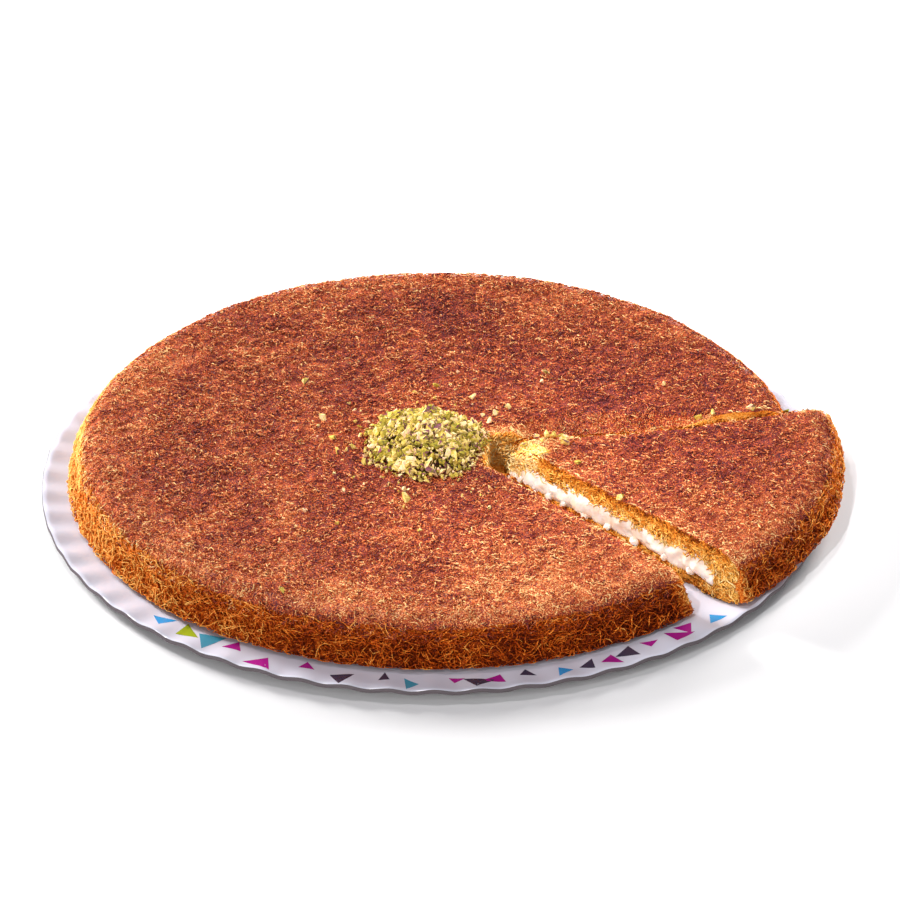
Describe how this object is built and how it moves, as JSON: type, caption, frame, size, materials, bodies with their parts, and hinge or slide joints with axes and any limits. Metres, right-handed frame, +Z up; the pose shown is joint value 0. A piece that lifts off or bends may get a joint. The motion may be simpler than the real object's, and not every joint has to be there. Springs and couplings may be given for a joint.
{
  "type": "kunafa on a cake tray",
  "caption": "Round cream-filled shredded-pastry dessert on a fluted board tray, one slice drawn out, chopped pistachio heaped on top.",
  "frame": {"origin": "middle of the tray's flat underside, where the whole rests", "axes": "+Z up out of the tray; -Y is the front, which the picture looks at; +X to the right, the side that the slice is drawn out to"},
  "size_m": [0.3349, 0.328, 0.0343],
  "materials": {
    "tray_board": "glossy white laminated greyboard with a scattered print of coloured triangles near its rim",
    "baked_crust": "crisp browned shredded pastry, lightly glossed with syrup, darker in patches on top and golden at the side",
    "cream": "moist warm white clotted cream",
    "pale_pastry": "golden shredded pastry, soft with syrup",
    "pistachio": "chopped pistachio, yellow-green with dark green and purple skins"
  },
  "bodies": {
    "root": {"tray": "tray_board", "body_crust": "baked_crust", "body_filling": "cream", "body_base": "pale_pastry", "slice_crust": "baked_crust", "slice_filling": "cream", "slice_base": "pale_pastry", "pistachio_heap": "pistachio"}
  },
  "joints": []
}
